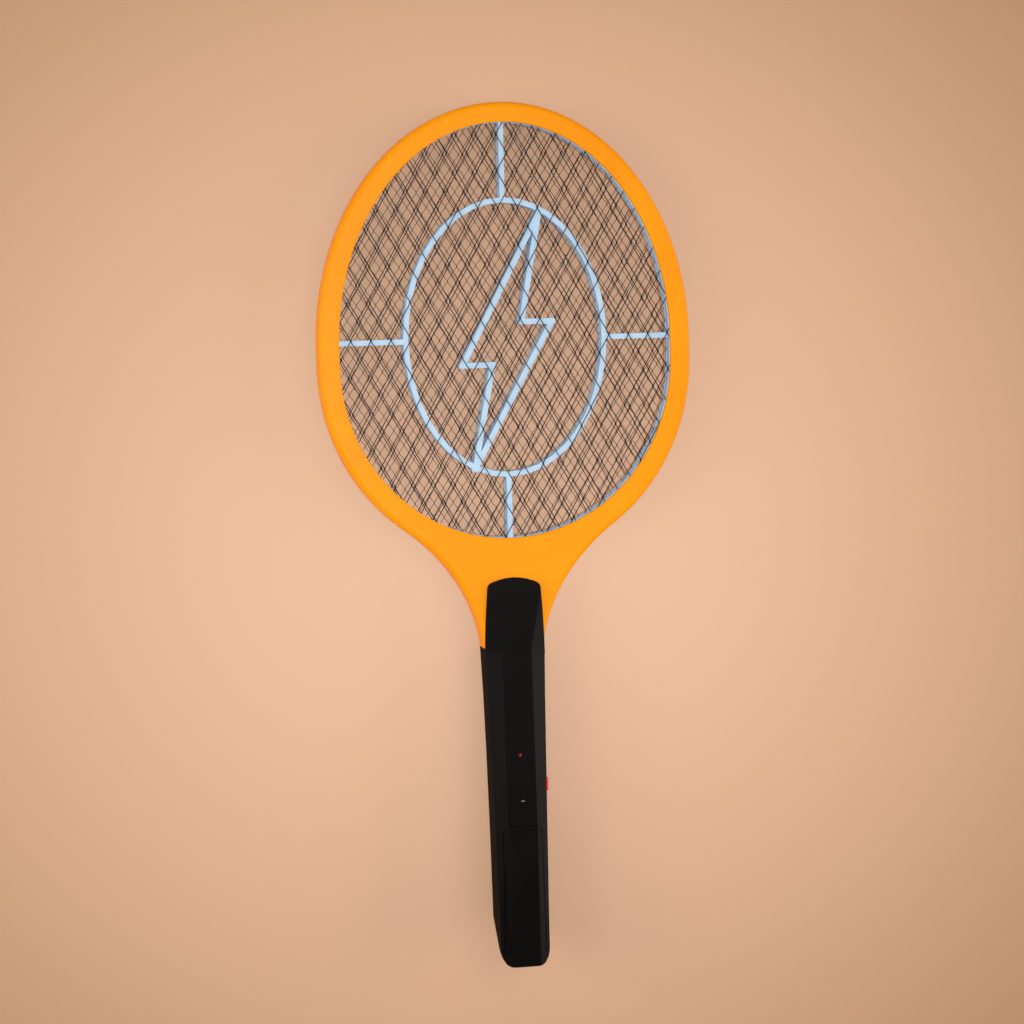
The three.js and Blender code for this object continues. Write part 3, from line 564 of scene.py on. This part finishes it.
def make_materials():
    return {
        "orange_plastic": plastic("orange_plastic", (1.0, 0.335, 0.002), (0.98, 0.305, 0.0015),
                                  (0.34, 0.42), depth=0.008, Specular_IOR_Level=0.1),
        "blue_plastic": plastic("blue_plastic", (0.5, 0.69, 0.88), (0.46, 0.65, 0.85),
                                (0.4, 0.5), depth=0.008, Specular_IOR_Level=0.2),
        "black_plastic": plastic("black_plastic", (0.0045, 0.0034, 0.0034),
                                 (0.0036, 0.0027, 0.0027), (0.3, 0.4), grain=1500, depth=0.012,
                                 Specular_IOR_Level=0.0, Coat_Weight=0.09, Coat_Roughness=0.25),
        "red_plastic": plastic("red_plastic", (0.85, 0.022, 0.008), (0.78, 0.018, 0.007),
                               (0.3, 0.4), depth=0.01),
        "dark_plastic": plastic("dark_plastic", (0.02, 0.02, 0.022), (0.014, 0.014, 0.015),
                                (0.45, 0.6)),
        "beige_plastic": plastic("beige_plastic", (0.62, 0.48, 0.29), (0.55, 0.42, 0.25),
                                 (0.45, 0.55)),
        "lamp_lens": plastic("lamp_lens", (0.34, 0.008, 0.012), (0.28, 0.006, 0.009),
                             (0.3, 0.4), depth=0.002, Specular_IOR_Level=0.2),
        "cell_jacket": plastic("cell_jacket", (0.06, 0.2, 0.07), (0.05, 0.17, 0.06),
                               (0.22, 0.32), depth=0.004),
        "board": plastic("board", (0.03, 0.14, 0.05), (0.024, 0.11, 0.04), (0.3, 0.45),
                         grain=2400, depth=0.02),
        "capacitor_coat": plastic("capacitor_coat", (0.36, 0.03, 0.015), (0.3, 0.02, 0.012),
                                  (0.18, 0.3), grain=300, depth=0.05),
        "black_lead": plastic("black_lead", (0.012, 0.012, 0.012), (0.009, 0.009, 0.009),
                              (0.4, 0.5)),
        "red_lead": plastic("red_lead", (0.45, 0.015, 0.012), (0.4, 0.012, 0.01), (0.4, 0.5)),
        "print": plastic("print", (0.14, 0.14, 0.14), (0.1, 0.1, 0.1), (0.5, 0.6), depth=0.004),
        "ferrite": plastic("ferrite", (0.03, 0.03, 0.032), (0.02, 0.02, 0.021), (0.55, 0.7),
                           grain=3000, depth=0.03),
        "grid_steel": metal("grid_steel", (0.03, 0.024, 0.028), (0.014, 0.011, 0.013),
                            (0.35, 0.5), stretch=(1, 0.2, 1), metallic=0.9),
        "nickel_steel": metal("nickel_steel", (0.62, 0.61, 0.6), (0.5, 0.49, 0.47),
                              (0.2, 0.35)),
        "copper": metal("copper", (0.72, 0.28, 0.12), (0.6, 0.21, 0.08), (0.22, 0.35),
                        stretch=(0.1, 6, 6), depth=0.05),
    }


def paint(materials):
    """Gives every shown piece the material of its record slot."""
    slot_of = {part["node"]: part["material_slot"] for part in frame["record"]["subparts"]}
    for node, obj in frame["nodes"].items():
        put(obj, materials[slot_of[node]])
    for node, piece in shown.items():
        put(piece, materials[slot_of[node]])


def put(obj, material):
    obj.data.materials.clear()
    obj.data.materials.append(material)


# ---- stage ----

def set_camera():
    turn = (Matrix.Rotation(math.radians(CAMERA["roll"]), 3, "Z")
            @ Matrix.Rotation(math.radians(CAMERA["pitch"]), 3, "X")
            @ Matrix.Rotation(math.radians(CAMERA["yaw"]), 3, "Y")).transposed()
    data = bpy.data.cameras.new("camera")
    data.lens = CAMERA["lens"]
    data.sensor_width = CAMERA["sensor"]
    camera = bpy.data.objects.new("camera", data)
    away = Vector((*CAMERA["aim"], CAMERA["distance"]))
    camera.matrix_world = Matrix.Translation(turn @ away) @ turn.to_4x4()
    bpy.context.scene.collection.objects.link(camera)
    bpy.context.scene.camera = camera


def add_light(name, data, place, power, colour):
    """Puts a light at a place, turned to face the object's origin."""
    data.energy = power
    data.color = colour
    light = bpy.data.objects.new(name, data)
    light.location = place
    light.rotation_euler = Vector(place).to_track_quat("Z", "Y").to_euler()
    bpy.context.scene.collection.objects.link(light)


def area_light(name, place, size, power, colour, beam=180):
    data = bpy.data.lights.new(name, "AREA")
    data.shape = "RECTANGLE"
    data.size, data.size_y = size
    data.spread = math.radians(beam)
    add_light(name, data, place, power, colour)


def spot_light(name, place, beam, power, colour):
    """A wholly soft-edged spot that casts no shadow, for the pale pool on the floor."""
    data = bpy.data.lights.new(name, "SPOT")
    data.spot_size = math.radians(beam)
    data.spot_blend = 1.0
    data.shadow_soft_size = 0.25
    data.use_shadow = False
    add_light(name, data, place, power, colour)


def set_lights():
    world = bpy.data.worlds.new("soft room")
    world.use_nodes = True
    background = world.node_tree.nodes["Background"]
    background.inputs["Color"].default_value = (1.0, 0.97, 0.94, 1)
    background.inputs["Strength"].default_value = 0.3
    bpy.context.scene.world = world
    area_light("key", place=(0.8, 0.4, 1.9), size=(1.4, 1.4), power=5,
               colour=(1.0, 0.98, 0.95))
    area_light("left", place=(-1.7, 0.3, 0.5), size=(0.9, 0.5), power=2.4,
               colour=(1.0, 0.95, 0.88), beam=110)
    area_light("upper left", place=(-1.3, 0.05, 0.85), size=(0.9, 0.7), power=1.8,
               colour=(1.0, 0.95, 0.92), beam=110)
    area_light("right", place=(1.9, 0.0, 0.57), size=(1.5, 0.7), power=2.7,
               colour=(1.0, 0.88, 0.86), beam=70)
    spot_light("pool", place=(-0.25, 0.1, 1.9), beam=30, power=81, colour=(1.0, 0.99, 0.97))


def set_floor():
    bm = bmesh.new()
    bmesh.ops.create_grid(bm, x_segments=1, y_segments=1, size=FLOOR["size"])
    bmesh.ops.translate(bm, verts=bm.verts, vec=(0, 0, cad_bounds[0][2] - FLOOR["gap"]))
    floor = new_piece("floor", bm)
    material, principled = shader("pale_floor", Roughness=FLOOR["roughness"],
                                  Specular_IOR_Level=FLOOR["specular"])
    # painted falloff of light: the floor's colour darkens with the distance from the origin
    material.node_tree.links.new(ramp(material, distance_out(material), FLOOR_PAINTED_FALLOFF),
                                 principled.inputs["Base Color"])
    bumps(material, principled, noise(material, *NOISE["floor"]), FLOOR["bump"])
    put(floor, material)


# ---- build ----

shown = {
    "front_frame": head_frame("front_frame", 1),
    "rear_frame": head_frame("rear_frame", -1),
    "front_grid": expanded_grid("front_grid", COARSE),
    "centre_grid": expanded_grid("centre_grid", FINE),
    "rear_grid": expanded_grid("rear_grid", COARSE),
    "front_spacer": moulded("front_spacer", 0.3),
    "rear_spacer": moulded("rear_spacer", 0.3),
    "handle_front": moulded("handle_front", 0.6),
    "handle_rear": moulded("handle_rear", 0.6),
    "battery_door": moulded("battery_door", 0.35),
    "button_cap": moulded("button_cap", 0.5),
}
materials = make_materials()
paint(materials)
put(printed_mark(), materials["print"])
for node in ("front_frame", "rear_frame"):
    shown[node].visible_diffuse = False  # no orange glow on the pale floor
set_camera()
set_lights()
set_floor()
bpy.context.scene.view_settings.view_transform = "Standard"
